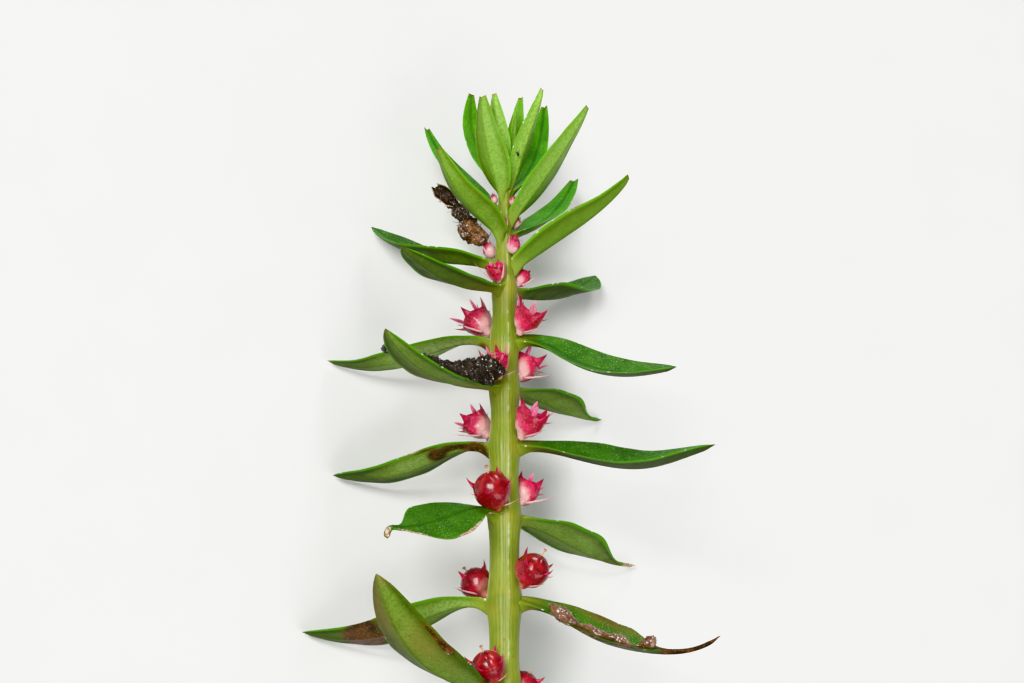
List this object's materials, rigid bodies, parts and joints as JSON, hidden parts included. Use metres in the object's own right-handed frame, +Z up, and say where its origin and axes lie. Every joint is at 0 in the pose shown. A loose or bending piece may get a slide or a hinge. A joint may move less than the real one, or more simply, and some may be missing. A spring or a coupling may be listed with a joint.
{
  "type": "rotala shoot",
  "caption": "Flowering shoot of the aquarium plant rotala, with crossed pairs of leaves on a cut stem, red fruits and flowers in the leaf axils, and bits of dirt.",
  "frame": {"origin": "centre of the bounding box's underside, on the surface that the shoot lies on", "axes": "+Y along the stem from its cut end to its tip, +Z up from the surface, +X to the right of the stem"},
  "size_m": [0.0222, 0.0396, 0.0136],
  "materials": {
    "stem": "satin",
    "old_leaf": "satin",
    "young_leaf": "satin",
    "fruit": "gloss",
    "flower": "satin",
    "bud": "satin",
    "scrap": "satin",
    "clump": "gloss",
    "mud": "matte"
  },
  "bodies": {
    "root": {"stem": "stem", "leaf_1_front": "old_leaf", "leaf_1_back": "old_leaf", "leaf_2_left": "old_leaf", "leaf_2_right": "old_leaf", "leaf_3_front": "old_leaf", "leaf_3_back": "old_leaf", "leaf_4_left": "old_leaf", "leaf_4_right": "old_leaf", "leaf_5_front": "old_leaf", "leaf_5_back": "old_leaf", "leaf_6_left": "old_leaf", "leaf_6_right": "old_leaf", "leaf_7_front": "old_leaf", "leaf_7_back": "old_leaf", "leaf_8_left": "old_leaf", "leaf_8_right": "young_leaf", "leaf_9_front": "young_leaf", "leaf_9_back": "young_leaf", "leaf_10_left": "young_leaf", "leaf_10_right": "young_leaf", "leaf_11_front": "young_leaf", "leaf_11_back": "young_leaf", "leaf_12_left": "young_leaf", "leaf_12_right": "young_leaf", "leaf_13_front": "young_leaf", "leaf_13_back": "young_leaf", "leaf_14_left": "young_leaf", "leaf_14_right": "young_leaf", "fruit_1_front": "fruit", "fruit_1_back": "fruit", "fruit_2_left": "fruit", "fruit_2_right": "fruit", "fruit_3_front": "fruit", "flower_3_back": "flower", "flower_4_left": "flower", "flower_4_right": "flower", "flower_5_front": "flower", "flower_5_back": "flower", "flower_6_left": "flower", "flower_6_right": "flower", "flower_7_front": "flower", "flower_7_back": "flower", "flower_8_left": "bud", "flower_8_right": "bud", "bud_9_front": "bud", "bud_9_back": "bud", "bud_10_left": "bud", "bud_10_right": "bud", "black_clump": "clump", "black_speck": "clump", "mud_streak": "mud", "mud_ball": "mud", "brown_scrap": "scrap"}
  },
  "joints": []
}
